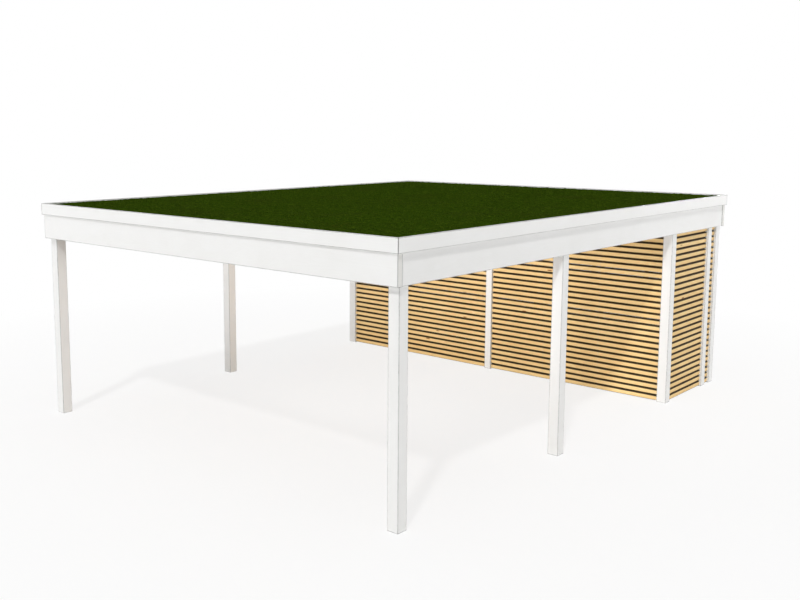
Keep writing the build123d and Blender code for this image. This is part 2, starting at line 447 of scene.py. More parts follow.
LARCH_SLATS, SPRUCE_TIMBERS = {}, {}
for axis in "XY":
    name = "larch_slats_" + axis.lower()
    LARCH_SLATS[axis] = bare_timber(name, axis, LARCH, 0.06, 0.62, 0.0003, wet_and_shade_share=0.95, is_slat=True)
    SPRUCE_TIMBERS[axis] = bare_timber("spruce_timbers_" + axis.lower(), axis, SPRUCE, 0.11, 0.6, 0.0003)
SPRUCE_BATTENS = bare_timber("spruce_battens", "Z", SPRUCE, 0.10, 0.66, 0.0004, wet_and_shade_share=0.5)
SPRUCE_BOARDS = bare_timber("spruce_boards", "Y", SPRUCE, 0.09, 0.75, 0.0006)
print("bare timbers: larch in two directions, spruce in four finishes")

# %% [markdown]
# ## Metal
# Hot-dip zinc freezes in flat crystals, each of which mirrors the sky at its own strength. Voronoi cells
# have just that shape: their random colour sets the roughness and a little of the tone. Stainless screws are
# small and turned, so they only need fine scratches.

# %% Metal
ZINC_BRIGHT, ZINC_GREY, ZINC_DULL = (0.62, 0.64, 0.66), (0.47, 0.49, 0.52), (0.40, 0.41, 0.42)
STEEL_BRIGHT, STEEL_DULL = (0.70, 0.69, 0.66), (0.45, 0.44, 0.42)


def zinc():
    material, tree, shader, place = start_material("hot_dip_zinc")
    cells = put(tree, "ShaderNodeTexVoronoi", {"Vector": place, "Scale": 110.0})["Color"]
    crystal = put(tree, "ShaderNodeSeparateColor", {0: cells})["Red"]
    masks = use(tree, WEATHER, {"Vector": place, "Cloud Scale": 9.0, "Splash Height": 0.0})
    colour = tinted(tree, ZINC_BRIGHT, (crystal, 1.0, ZINC_GREY), (masks["Dust"], 0.5, ZINC_DULL))
    rough = spread(tree, crystal, 0.0, 1.0, 0.32, 0.55)
    feed(tree, shader, {"Base Color": colour, "Roughness": rough, "Metallic": 0.9})
    raise_surface(tree, shader, crystal, 0.00003)
    return material


def stainless():
    material, tree, shader, place = start_material("stainless_screws")
    scratches = soft_noise(tree, place, 900.0, 2.0)
    colour = blend(tree, scratches, STEEL_BRIGHT, STEEL_DULL)
    rough = spread(tree, scratches, 0.3, 0.7, 0.25, 0.45)
    feed(tree, shader, {"Base Color": colour, "Roughness": rough, "Metallic": 1.0})
    return material


ZINC = zinc()
STAINLESS = stainless()
print("metals:", ZINC.name, STAINLESS.name)

# %% [markdown]
# ## The roof's hidden layers
# Membrane, drainage mat and growing layer are covered once the roof is planted, but the model can be taken
# apart, and then each one shows. Each has one clear sign: dust on dull black sheet, rows of cups in dark
# plastic, and broken stone with soil between.

# %% Hidden layers
SHEET, SHEET_DUST = (0.045, 0.045, 0.05), (0.12, 0.115, 0.10)
CUP_FLOOR, CUP_RIM = (0.12, 0.12, 0.125), (0.04, 0.04, 0.045)
BRICK, LAVA, SOIL = (0.34, 0.17, 0.10), (0.20, 0.15, 0.12), (0.05, 0.035, 0.025)


def membrane_sheet():
    material, tree, shader, place = start_material("roofing_membrane")
    masks = use(tree, WEATHER, {"Vector": place, "Cloud Scale": 3.0, "Splash Height": 0.0})
    colour = tinted(tree, SHEET, (masks["Dust"], 0.5, SHEET_DUST))
    feed(tree, shader, {"Base Color": colour, "Roughness": spread(tree, masks["Dust"], 0.0, 1.0, 0.55, 0.8)})
    wrinkles = soft_noise(tree, place, 14.0, 3.0)
    raise_surface(tree, shader, wrinkles, 0.002)
    return material


def drainage_cups():
    material, tree, shader, place = start_material("drainage_cups")
    cups = put(tree, "ShaderNodeTexVoronoi", {"Vector": place, "Scale": 28.0, "Randomness": 0.0})["Distance"]
    colour = blend(tree, spread(tree, cups, 0.1, 0.5), CUP_FLOOR, CUP_RIM)
    feed(tree, shader, {"Base Color": colour, "Roughness": spread(tree, cups, 0.0, 0.6, 0.4, 0.6)})
    raise_surface(tree, shader, cups, 0.012)
    return material


def growing_layer():
    material, tree, shader, place = start_material("growing_layer")
    stones = put(tree, "ShaderNodeTexVoronoi", {"Vector": place, "Scale": 130.0})
    shade = put(tree, "ShaderNodeSeparateColor", {0: stones["Color"]})["Green"]
    between = spread(tree, stones["Distance"], 0.25, 0.6)
    colour = tinted(tree, BRICK, (shade, 1.0, LAVA), (between, 1.0, SOIL))
    feed(tree, shader, {"Base Color": colour, "Roughness": spread(tree, shade, 0.0, 1.0, 0.8, 0.95)})
    raise_surface(tree, shader, maths(tree, "SUBTRACT", 1.0, stones["Distance"]), 0.006)
    return material


MEMBRANE, DRAINAGE, SUBSTRATE = membrane_sheet(), drainage_cups(), growing_layer()
print("layers:", MEMBRANE.name, DRAINAGE.name, SUBSTRATE.name)

# %% [markdown]
# ## Dressing the frame's own nodes
# Posts, beams, cap boards, joists, kerbs and hangers already have their true shape. They keep it, and only
# take a material. Which of the three directions of grain a timber needs follows from its longest side.


# %% Dress the nodes
def longest_axis(name):
    low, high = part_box(name)
    size = list(high - low)
    return "XYZ"[size.index(max(size))]


def finish_for(name):
    if name.startswith("post"):
        return WHITE_COAT["Z"]
    if name.startswith(("beam", "cap")):
        return WHITE_COAT[longest_axis(name)]
    if name.startswith("joists"):
        return SPRUCE_TIMBERS["X"]
    if name.startswith("kerb"):
        return SPRUCE_TIMBERS[longest_axis(name)]
    if name.startswith("hangers"):
        return ZINC
    return {"roof_membrane": MEMBRANE, "drainage_mat": DRAINAGE, "substrate": SUBSTRATE}.get(name)


dressed = 0
for name, node in nodes.items():
    finish = finish_for(name)
    if finish:
        node.data.materials.clear()
        node.data.materials.append(finish)
        dressed += 1
print("dressed nodes:", dressed)

# %% [markdown]
# ## From a node tree to a plain mesh
# What repeats is made with Geometry Nodes: one tree, a few named sizes, and the result changes with them.
# The result stays live in a modifier, and an export would drop its instances. So each tree ends in Realize
# Instances and Set Material, and its evaluated mesh is copied out as plain triangles before the piece joins
# the frame.

# %% Helpers for Geometry Nodes
SHARP_ANGLE = math.radians(40)


def grow(name, tree, values, base=None):
    """Runs a tree on a base mesh, or on none, and keeps the result as the piece's plain mesh."""
    piece = add_object(name, base or bpy.data.meshes.new(name))
    modifier = piece.modifiers.new(tree.name, "NODES")
    modifier.node_group = tree
    sockets = {item.name: item.identifier for item in tree.interface.items_tree if item.in_out == "INPUT"}
    for label, value in values.items():
        modifier[sockets[label]] = value
    graph = bpy.context.evaluated_depsgraph_get()
    source = piece.evaluated_get(graph)
    result = bpy.data.meshes.new_from_object(source, preserve_all_data_layers=True, depsgraph=graph)
    piece.modifiers.clear()
    piece.data = result
    result.name = name
    while None in list(result.materials):
        result.materials.pop(index=list(result.materials).index(None))
    result.shade_smooth()
    result.set_sharp_from_angle(angle=SHARP_ANGLE)
    return piece


def mesh_of(name, places, faces=()):
    mesh = bpy.data.meshes.new(name)
    mesh.from_pydata(places, [], faces)
    return mesh


def join_frame(piece, slot, *replaced):
    """The piece rides on the carport's one body, and stands for the nodes that it replaces."""
    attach(piece, "root")
    if replaced:
        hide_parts(*replaced)
    triangles = sum(len(face.vertices) - 2 for face in piece.data.polygons)
    print(piece.name + ":", triangles, "triangles,", [m.name for m in piece.data.materials])


# %% [markdown]
# ## One slat
# A slat has a rhombic section: both long edges fall outwards, so rain runs off instead of in. Its arrises
# are rounded, or the oil would wear off them. A box with a bevel could do it, but a four-point curve with a
# fillet, swept along a straight line, also makes the top slat, which is ripped to fit and has a level upper
# edge. A swept section lies with its X on -Y and its Y on -Z when the line runs along +X, hence the minus
# signs. Its corners go round in the order that makes the faces look outwards, and the other order would turn
# the slat inside out. The attribute share says how far along, through and up the slat a point is. It is
# stored before the slat is copied, while its first corner is still at the origin.


# %% Helpers for what a tree sweeps and stores
def swept(tree, section, arris, corner_points, run):
    """A timber of that section with its arrises rounded, along a straight run from the origin."""
    rounding = {"Curve": section, "Count": corner_points, "Radius": arris, "Limit Radius": True}
    rounded = put(tree, "GeometryNodeFilletCurve", rounding, mode="POLY")[0]
    line = put(tree, "GeometryNodeCurvePrimitiveLine", {"End": run})[0]
    sweep = {"Curve": line, "Profile Curve": rounded, "Fill Caps": True}
    return put(tree, "GeometryNodeCurveToMesh", sweep)[0]


def stored(tree, geometry, name, value, **settings):
    """The geometry with the value kept on it under that name."""
    store = {"Geometry": geometry, "Name": name, "Value": value}
    return put(tree, "GeometryNodeStoreNamedAttribute", store, **settings)[0]


# %% One slat
def slat_tree():
    inputs = numbers("Length", "Outer Height", "Inner Height", "Thickness", "Fall", "Arris")
    tree, given, result = geometry_group("Slat", inputs, "Slat")
    names = ("Thickness", "Fall", "Inner Height", "Outer Height")
    inner, fall, inner_top, outer_top = [times(tree, given[name], -1.0) for name in names]
    corners = {
        "Point 1": (0, 0, 0),
        "Point 2": vector(tree, x=inner, y=fall),
        "Point 3": vector(tree, x=inner, y=inner_top),
        "Point 4": vector(tree, y=outer_top),
    }
    section = put(tree, "GeometryNodeCurvePrimitiveQuadrilateral", corners, mode="POINTS")[0]
    slat = swept(tree, section, given["Arris"], 2, vector(tree, x=given["Length"]))
    size = vector(tree, given["Length"], given["Thickness"], given["Outer Height"])
    share = vector_maths(tree, "DIVIDE", put(tree, "GeometryNodeInputPosition")[0], size)
    feed(tree, result, {"Slat": stored(tree, slat, "share", share, data_type="FLOAT_VECTOR")})
    return tree


SLAT = slat_tree()
print("tree:", SLAT.name, len(SLAT.nodes), "nodes")

# %% [markdown]
# ## A bay of slats
# The slats of a bay sit on one step from the ground up. Each point of a row carries an instance of the slat,
# and a random value moves the point by less than a millimetre, because no one sets slats closer than that.
# The same kind of random value is stored as tone, which the timber material reads.


# %% The end that every tree shares
def chance(tree, seed, least=0.0, most=1.0):
    limits = {"Min": least, "Max": most, "Seed": seed}
    return put(tree, "FunctionNodeRandomValue", limits, data_type="FLOAT")[1]


def stamp(tree, instances, seed, material, finish=None):
    """Gives each instance its own tone, turns the instances into mesh and sets the material."""
    tone = chance(tree, seed)
    toned = stored(tree, instances, "tone", tone, data_type="FLOAT", domain="INSTANCE")
    realized = put(tree, "GeometryNodeRealizeInstances", {"Geometry": toned})[0]
    finished = finish(realized) if finish else realized
    return put(tree, "GeometryNodeSetMaterial", {"Geometry": finished, "Material": material})[0]


# %% [markdown]
# An export bakes each piece into one small image, in which the faces of thirty slats would be strewn about
# and smudge each other. So every slat is unrolled into a row of its own: underside, outer face, top and
# inner face lie side by side, as they do on the slat, and its two ends lie in the margins. A row is a whole
# number of pixels. The outer face is the one that shows, so the others have about one pixel each and it has
# the rest. The two edges have a little less than one, so that its first pixel lies past their painted shade.

# %% A slat's place on the map
MAP_NAME, MAP_PIXELS = "OFBake", 256.0
EDGE_PIXELS, INNER_PIXELS = 0.8, 1.0
MARGIN = 0.02
END_SPAN, FAR_START = 0.9 * MARGIN, 1.0 - 0.95 * MARGIN
SQUARE_ON = 0.85
INNER_FOOT, INNER_TOP = 0.2, 1.3


def attribute(tree, name, kind):
    return put(tree, "GeometryNodeInputNamedAttribute", {"Name": name}, data_type=kind)[0]


def choose(tree, test, if_true, if_false):
    options = {"Switch": test, "True": if_true, "False": if_false}
    return put(tree, "GeometryNodeSwitch", options, input_type="FLOAT")[0]


def unrolled(tree, slats, slat_count):
    """Stores the map of the slats, on which each slat is a row of whole pixels."""
    share = split(tree, attribute(tree, "share", "FLOAT_VECTOR"))
    normal = {"Value": put(tree, "GeometryNodeInputNormal")[0]}
    per_face = put(tree, "GeometryNodeFieldOnDomain", normal, data_type="FLOAT_VECTOR", domain="FACE")[0]
    facing = split(tree, per_face)
    row_height = maths(tree, "FLOOR", maths(tree, "DIVIDE", MAP_PIXELS, slat_count))
    inner_start = maths(tree, "SUBTRACT", row_height, INNER_PIXELS)
    above_start = maths(tree, "SUBTRACT", inner_start, EDGE_PIXELS)
    under = spread(tree, share["Y"], 0.0, 1.0, EDGE_PIXELS, 0.0)
    outer = spread(tree, share["Z"], 0.0, 1.0, EDGE_PIXELS, above_start)
    above = spread(tree, share["Y"], 0.0, 1.0, above_start, inner_start)
    inner = spread(tree, share["Z"], INNER_FOOT, INNER_TOP, row_height, inner_start)
    edge = choose(tree, maths(tree, "GREATER_THAN", facing["Z"], 0.0), above, under)
    front = choose(tree, maths(tree, "LESS_THAN", facing["Y"], -SQUARE_ON), outer, edge)
    across = choose(tree, maths(tree, "GREATER_THAN", facing["Y"], SQUARE_ON), inner, front)
    along = spread(tree, share["X"], 0.0, 1.0, MARGIN, 1.0 - MARGIN)
    near_end = times(tree, share["Y"], END_SPAN)
    far_end = maths(tree, "ADD", near_end, FAR_START)
    end = choose(tree, maths(tree, "GREATER_THAN", facing["X"], 0.0), far_end, near_end)
    is_end = maths(tree, "GREATER_THAN", maths(tree, "ABSOLUTE", facing["X"]), SQUARE_ON)
    u = choose(tree, is_end, end, along)
    v = choose(tree, is_end, spread(tree, share["Z"], 0.0, INNER_TOP, 0.0, row_height), across)
    height = maths(tree, "MULTIPLY_ADD", attribute(tree, "row", "FLOAT"), row_height, v)
    place = vector(tree, u, maths(tree, "DIVIDE", height, MAP_PIXELS))
    return stored(tree, slats, MAP_NAME, place, data_type="FLOAT2", domain="CORNER")


# %% A bay of slats
def slat_bay_tree():
    slat_sizes = ("Length", "Thickness", "Fall", "Arris")
    inputs = numbers(*slat_sizes, "Slat Height", "Top Height", "Start", "Step", "Looseness")
    inputs |= {"Rows": "count", "Seed": "count", "Material": "material"}
    tree, given, result = geometry_group("Slat bay", inputs, "Bay")
    shared = {name: given[name] for name in slat_sizes}

    def row_of(count, first, outer, inner):
        slat = use(tree, SLAT, {**shared, "Outer Height": outer, "Inner Height": inner})[0]
        start = vector(tree, x=given["Start"], z=first)
        row = {"Count": count, "Start Location": start, "Offset": vector(tree, z=given["Step"])}
        line = put(tree, "GeometryNodeMeshLine", row)[0]
        least = scaled(tree, (-1.0, 0.0, -0.6), given["Looseness"])
        most = scaled(tree, (1.0, 1.0, 0.6), given["Looseness"])
        play = {"Min": least, "Max": most, "Seed": given["Seed"]}
        moved = put(tree, "FunctionNodeRandomValue", play, data_type="FLOAT_VECTOR")[0]
        loose = put(tree, "GeometryNodeSetPosition", {"Geometry": line, "Offset": moved})[0]
        return put(tree, "GeometryNodeInstanceOnPoints", {"Points": loose, "Instance": slat})[0]

    inner_height = maths(tree, "ADD", given["Slat Height"], given["Fall"])
    top = times(tree, given["Rows"], given["Step"])
    full_rows = row_of(given["Rows"], 0.0, given["Slat Height"], inner_height)
    ripped_row = row_of(1, top, given["Top Height"], given["Top Height"])
    slats = put(tree, "GeometryNodeJoinGeometry", {0: full_rows})[0]
    feed(tree, slats.node, {0: ripped_row})
    index = put(tree, "GeometryNodeInputIndex")[0]
    numbered = stored(tree, slats, "row", index, data_type="FLOAT", domain="INSTANCE")
    count = maths(tree, "ADD", given["Rows"], 1.0)
    bay = stamp(tree, numbered, given["Seed"], given["Material"], lambda mesh: unrolled(tree, mesh, count))
    feed(tree, result, {"Bay": bay})
    return tree


SLAT_BAY = slat_bay_tree()
print("tree:", SLAT_BAY.name, len(SLAT_BAY.nodes), "nodes")

# %% [markdown]
# ## Battens and boards
# Battens and deck boards are both a rectangle with its arrises taken off, swept along a line and set out on
# even steps. They share one tree, with the line and the steps as vectors.


# %% Row of timbers
def timber_row_tree():
    inputs = {**numbers("Width", "Height", "Arris"), **dict.fromkeys(("Run", "First", "Step"), "vector")}
    inputs |= {"Count": "count", "Seed": "count", "Material": "material"}
    tree, given, result = geometry_group("Timber row", inputs, "Row")
    size = {"Width": given["Width"], "Height": given["Height"]}
    section = put(tree, "GeometryNodeCurvePrimitiveQuadrilateral", size, mode="RECTANGLE")[0]
    timber = swept(tree, section, given["Arris"], 1, given["Run"])
    places = {"Count": given["Count"], "Start Location": given["First"], "Offset": given["Step"]}
    points = put(tree, "GeometryNodeMeshLine", places)[0]
    timbers = put(tree, "GeometryNodeInstanceOnPoints", {"Points": points, "Instance": timber})[0]
    feed(tree, result, {"Row": stamp(tree, timbers, given["Seed"], given["Material"])})
    return tree


TIMBER_ROW = timber_row_tree()
print("tree:", TIMBER_ROW.name, len(TIMBER_ROW.nodes), "nodes")

# %% [markdown]
# ## Heads of screws, nails and bolts
# Each fixing shows only its head. A head has few faces, because there are hundreds of them. A short outline
# of radius and height, turned about its axis, makes them all: a domed nail, a screw with a six-sided recess,
# and a hexagon bolt on its washer. One tree sets a head on each point of a mesh and gives it a random turn.

# %% Heads
MM = 0.001
FULL_TURN = 2 * math.pi
HEAD_SHAPES = {
    "screw": (6, [(0, -0.5), (3.6, -0.5), (3.6, 0.2), (2.9, 0.8), (1.5, 0.9), (1.2, 0.0), (0, -0.1)]),
    "nail": (6, [(0, -0.5), (3.8, -0.5), (3.8, 0.4), (1.8, 1.0), (0, 1.1)]),
    "bolt": (6, [(0, 3.0), (10.4, 3.0), (10.4, 9.2), (9.2, 10.0), (0, 10.0)]),
    "washer": (16, [(0, -0.5), (17.0, -0.5), (17.0, 2.4), (16.4, 3.0), (0, 3.0)]),
}


def turned_head(name, sides, outline):
    """Turns (radius, height) pairs in millimetres about Z into a head, closed at both ends by radius 0."""
    form = bmesh.new()
    rings = []
    for radius, height in outline:
        angles = [FULL_TURN * index / sides for index in range(sides if radius else 1)]
        ring = [Vector((radius * math.cos(a), radius * math.sin(a), height)) * MM for a in angles]
        rings.append([form.verts.new(place) for place in ring])
    for lower, upper in zip(rings, rings[1:]):
        for index in range(sides):
            after = (index + 1) % sides
            corners = [lower[index % len(lower)], lower[after % len(lower)]]
            corners += [upper[after % len(upper)], upper[index % len(upper)]]
            form.faces.new(list(dict.fromkeys(corners)))
    bmesh.ops.recalc_face_normals(form, faces=form.faces)
    return add_object(name, mesh_from(form, name))


def mesh_from(form, name):
    mesh = bpy.data.meshes.new(name)
    form.to_mesh(mesh)
    form.free()
    return mesh


HEADS = {name: turned_head(name, *shape) for name, shape in HEAD_SHAPES.items()}
print("faces of the heads:", {name: len(head.data.polygons) for name, head in HEADS.items()})


# %% Heads on points
def any_turn(tree, seed):
    """A random turn about Z."""
    turn = {"Axis": (0, 0, 1), "Angle": chance(tree, seed, 0.0, FULL_TURN)}
    return put(tree, "FunctionNodeAxisAngleToRotation", turn)[0]


def heads_tree():
    inputs = {"Points": "geometry", "Head": "object", "Facing": "vector"}
    inputs |= {"Seed": "count", "Material": "material"}
    tree, given, result = geometry_group("Heads on points", inputs, "Heads")
    head = put(tree, "GeometryNodeObjectInfo", {"Object": given["Head"]})["Geometry"]
    facing = put(tree, "FunctionNodeAlignRotationToVector", {"Vector": given["Facing"]}, axis="Z")[0]
    placing = {"Points": given["Points"], "Instance": head, "Rotation": facing}
    placed = put(tree, "GeometryNodeInstanceOnPoints", placing)[0]
    turning = {"Instances": placed, "Rotation": any_turn(tree, given["Seed"])}
    turned = put(tree, "GeometryNodeRotateInstances", turning)[0]
    feed(tree, result, {"Heads": stamp(tree, turned, given["Seed"], given["Material"])})
    return tree


HEADS_ON_POINTS = heads_tree()
print("tree:", HEADS_ON_POINTS.name, len(HEADS_ON_POINTS.nodes), "nodes")

# %% [markdown]
# ## The slatted walls
# Eight bays close the store room. Each is drawn in its own space, with X along the bay, Y inwards and Z up,
# and then set in place. That is a pure turn, so no face is turned inside out. Slats, battens and screws are
# separate pieces, as they are on the real wall.

# %% Sizes of the walls
SLAT_HEIGHT, SLAT_GAP, SLAT_THICKNESS = 0.056, 0.0182, 0.028
SLAT_STEP = SLAT_HEIGHT + SLAT_GAP
SLAT_FALL = SLAT_THICKNESS * math.tan(math.radians(30))
SLAT_END_GAP = 0.003
SLAT_ARRIS = 0.0025
LOOSENESS = 0.0008
BATTEN_SIDE, BATTEN_STEP = 0.045, 0.85
SCREW_SPREAD = 0.03
UP = Vector((0, 0, 1))
FRONT, BACK, LEFT, RIGHT = (0, -1, 0), (0, 1, 0), (-1, 0, 0), (1, 0, 0)
BAYS = {
    **dict.fromkeys(("front_left", "front_right"), FRONT),
    **dict.fromkeys(("back_left", "back_right"), BACK),
    **dict.fromkeys(("left_long", "left_short"), LEFT),
    **dict.fromkeys(("right_long", "right_short"), RIGHT),
}


def bay_space(node, outward):
    """The bay's length and height, and the matrix from its own space to the carport."""
    low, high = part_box(node)
    inward = -Vector(outward)
    along = inward.cross(UP)
    corner = [low[i] if (along + inward)[i] > 0 else high[i] for i in (0, 1)]
    turn = Matrix((along, inward, UP)).transposed().to_4x4()
    return abs((high - low).dot(along)), high.z - low.z, Matrix.Translation((*corner, low.z)) @ turn


# %% Build the walls
for seed, (bay, outward) in enumerate(BAYS.items()):
    node = "wall_" + bay
    length, height, space = bay_space(node, outward)
    rows = math.floor((height - SLAT_HEIGHT - SLAT_FALL) / SLAT_STEP) + 1
    slat_values = {
        "Start": SLAT_END_GAP,
        "Length": length - 2 * SLAT_END_GAP,
        "Rows": rows,
        "Step": SLAT_STEP,
        "Slat Height": SLAT_HEIGHT,
        "Top Height": height - rows * SLAT_STEP,
        "Thickness": SLAT_THICKNESS,
        "Fall": SLAT_FALL,
        "Arris": SLAT_ARRIS,
        "Looseness": LOOSENESS,
        "Seed": seed,
        "Material": LARCH_SLATS["Y" if outward in (LEFT, RIGHT) else "X"],
    }
    slats = grow("slats_" + bay, SLAT_BAY, slat_values)
    slats.data.transform(space)
    join_frame(slats, "slat_timber", node)

    battens = math.ceil((length - BATTEN_SIDE) / BATTEN_STEP) + 1
    batten_step = (length - BATTEN_SIDE) / (battens - 1)
    batten_values = {
        "Width": BATTEN_SIDE,
        "Height": BATTEN_SIDE,
        "Arris": SLAT_ARRIS,
        "Run": (0, 0, height),
        "First": (BATTEN_SIDE / 2, SLAT_THICKNESS + BATTEN_SIDE / 2, 0),
        "Step": (batten_step, 0, 0),
        "Count": battens,
        "Seed": seed,
        "Material": SPRUCE_BATTENS,
    }
    uprights = grow("battens_" + bay, TIMBER_ROW, batten_values)
    uprights.data.transform(space)
    join_frame(uprights, "slat_timber", node)

    middles = [row * SLAT_STEP + SLAT_HEIGHT / 2 for row in range(rows)]
    middles.append((height + rows * SLAT_STEP) / 2)
    places = [
        (BATTEN_SIDE / 2 + column * batten_step, 0, middle + side * SCREW_SPREAD / 2)
        for column in range(battens)
        for middle in middles
        for side in (-1, 1)
    ]
    screw_values = {"Head": HEADS["screw"], "Facing": FRONT, "Seed": seed, "Material": STAINLESS}
    screws = grow("screws_" + bay, HEADS_ON_POINTS, screw_values, mesh_of("places", places))
    screws.data.transform(space)
    join_frame(screws, "zinc_steel")

# %% [markdown]
# ## Deck boards
# From below, the roof is a ceiling of boards between the joists. The boards are shorter than the roof, so
# each has a butt joint, which falls on the middle of a joist: on one joist for every other board, and on
# another for the rest. Four rows of timbers make that pattern.

# %% Deck boards
BOARD_STEP, BOARD_GAP, BOARD_ARRIS = 0.135, 0.0008, 0.003
BOARD_SEED = 40
JOIST_HALF = 0.03
deck_low, deck_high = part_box("roof_deck")
board_count = round((deck_high.x - deck_low.x) / BOARD_STEP)
board_thickness = deck_high.z - deck_low.z
joists_low, joists_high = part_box("joists_middle")
near_joint, far_joint = joists_low.y + JOIST_HALF, joists_high.y - JOIST_HALF
BOARD_RUNS = {
    "even_front": (0, deck_low.y, near_joint),
    "even_back": (0, near_joint, deck_high.y),
    "odd_front": (1, deck_low.y, far_joint),
    "odd_back": (1, far_joint, deck_high.y),
}
for seed, (name, (parity, start, stop)) in enumerate(BOARD_RUNS.items()):
    board_values = {
        "Width": BOARD_STEP - BOARD_GAP,
        "Height": board_thickness,
        "Arris": BOARD_ARRIS,
        "Run": (0, stop - start - BOARD_GAP, 0),
        "First": (deck_low.x + (parity + 0.5) * BOARD_STEP, start, deck_low.z + board_thickness / 2),
        "Step": (2 * BOARD_STEP, 0, 0),
        "Count": board_count // 2,
        "Seed": BOARD_SEED + seed,
        "Material": SPRUCE_BOARDS,
    }
    join_frame(grow("deck_boards_" + name, TIMBER_ROW, board_values), "deck_board", "roof_deck")

# %% [markdown]
# ## Nails in the hangers, bolts in the post heads
# A hanger is nailed through both flanges, in a line. Where the joists are is read from their own meshes:
# their vertices lie on the joists' two sides. Each post's tongue stands behind the side beam, and two bolts
# go through both.


# %% Joist lines
def joist_lines():
    """The middle of each joist, along Y, from the joists' own vertices."""
    lines = []
    for name in ("joists_front", "joists_middle", "joists_store"):
        sides = sorted({round(vertex.co.y, 4) for vertex in nodes[name].data.vertices})
        lines += [(near + far) / 2 for near, far in zip(sides[::2], sides[1::2])]
    return lines


JOISTS = joist_lines()
print("joists:", len(JOISTS), [round(line, 3) for line in JOISTS])

# %% Nails and bolts
HANGER_SHEET, NAIL_OFFSET = 0.002, 0.0495
NAIL_HEIGHTS = (0.025, 0.06, 0.095, 0.13, 0.165)
BOLT_HEIGHTS = (0.075, 0.225)
NAIL_SEED, BOLT_SEED = 60, 61
for side, facing in (("left", RIGHT), ("right", LEFT)):
    low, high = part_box("hangers_" + side)
    flange_face = (low.x if side == "left" else high.x) + facing[0] * HANGER_SHEET
    places = [
        (flange_face, line + edge * NAIL_OFFSET, low.z + height)
        for line in JOISTS
        for edge in (-1, 1)
        for height in NAIL_HEIGHTS
    ]
    nail_values = {"Head": HEADS["nail"], "Facing": facing, "Seed": NAIL_SEED, "Material": ZINC}
    nails = grow("nails_" + side, HEADS_ON_POINTS, nail_values, mesh_of("places", places))
    join_frame(nails, "zinc_steel")

    beam_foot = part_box("beam_" + side)[0].z
    places = []
    for post in ("front", "middle", "store", "side", "back"):
        low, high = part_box(f"post_{post}_{side}")
        inner = high.x if side == "left" else low.x
        places += [(inner, (low.y + high.y) / 2, beam_foot + height) for height in BOLT_HEIGHTS]
    for head in ("bolt", "washer"):
        bolt_values = {"Head": HEADS[head], "Facing": facing, "Seed": BOLT_SEED, "Material": ZINC}
        bolts = grow(f"{head}s_{side}", HEADS_ON_POINTS, bolt_values, mesh_of("places", places))
        join_frame(bolts, "zinc_steel")

# %% [markdown]
# ## The planted bed
# From the ground the roof is one dark green surface, level with the cap boards. Close to, it is a mat of
# moss with low, fleshy plants in it. The moss is a closed slab with a softly uneven top, made by noise.

# %% Bed
BED_LOW, BED_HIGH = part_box("planting")
BED_CELL = 0.06
BED_LEVEL = BED_LOW.z + 0.004
BED_EDGE = 0.0005
SWELL_SCALE, SWELL_HEIGHT = 2.6, 0.002
RIPPLE_SCALE, RIPPLE_HEIGHT = 11, 0.0008


def bed_height(x, y):
    swell = noise.noise(Vector((x, y, 0)) * SWELL_SCALE) * SWELL_HEIGHT
    return BED_LEVEL + swell + noise.noise(Vector((x, y, 5)) * RIPPLE_SCALE) * RIPPLE_HEIGHT


def bed_patch(low_x, low_y, high_x, high_y):
    """A grid that follows the uneven top between two corners."""
    form = bmesh.new()
    across = math.ceil((high_x - low_x) / BED_CELL)
    deep = math.ceil((high_y - low_y) / BED_CELL)
    bmesh.ops.create_grid(form, x_segments=across, y_segments=deep, size=0.5)
    for vertex in form.verts:
        x = low_x + (vertex.co.x + 0.5) * (high_x - low_x)
        y = low_y + (vertex.co.y + 0.5) * (high_y - low_y)
        vertex.co = (x, y, bed_height(x, y))
    return form


def bed_slab():
    low_x, low_y = BED_LOW.x + BED_EDGE, BED_LOW.y + BED_EDGE
    form = bed_patch(low_x, low_y, BED_HIGH.x - BED_EDGE, BED_HIGH.y - BED_EDGE)
    rim = [edge for edge in form.edges if edge.is_boundary]
    for made in bmesh.ops.extrude_edge_only(form, edges=rim)["geom"]:
        if isinstance(made, bmesh.types.BMVert):
            made.co.z = BED_LOW.z
    bmesh.ops.holes_fill(form, edges=[edge for edge in form.edges if edge.is_boundary])
    bmesh.ops.recalc_face_normals(form, faces=form.faces)
    slab = add_object("moss_bed", mesh_from(form, "moss_bed"))
    slab.data.shade_smooth()
    slab.data.set_sharp_from_angle(angle=SHARP_ANGLE)
    return slab


# %% [markdown]
# ## Moss and leaves
# The moss is the darkest green, grainy, and browner in the drier patches. Leaves are lighter at the tip, and
# their plant's tone moves them between green and olive. Both have very little gloss: seen at a low angle, a
# glossy roof would turn white with the sky.

# %% Moss and leaves
MOSS_DEEP, MOSS_LIGHT, MOSS_DRY = (0.018, 0.042, 0.0020), (0.052, 0.104, 0.005), (0.045, 0.05, 0.010)
LEAF_GREEN, LEAF_OLIVE = (0.034, 0.080, 0.0030), (0.070, 0.122, 0.007)
LEAF_TIP, LEAF_DRY = (0.095, 0.150, 0.013), (0.060, 0.062, 0.010)


def moss():
    material, tree, shader, place = start_material("moss")
    grains = soft_noise(tree, place, 240.0, 4.0)
    patches = soft_noise(tree, place, 2.2, 4.0)
    lighter, drier = spread(tree, grains, 0.35, 0.65), spread(tree, patches, 0.5, 0.75)
    colour = tinted(tree, MOSS_DEEP, (lighter, 1.0, MOSS_LIGHT), (drier, 0.4, MOSS_DRY))
    rough = spread(tree, grains, 0.0, 1.0, 0.85, 1.0)
    feed(tree, shader, {"Base Color": colour, "Roughness": rough, "Specular IOR Level": 0.0})
    raise_surface(tree, shader, grains, 0.003)
    return material


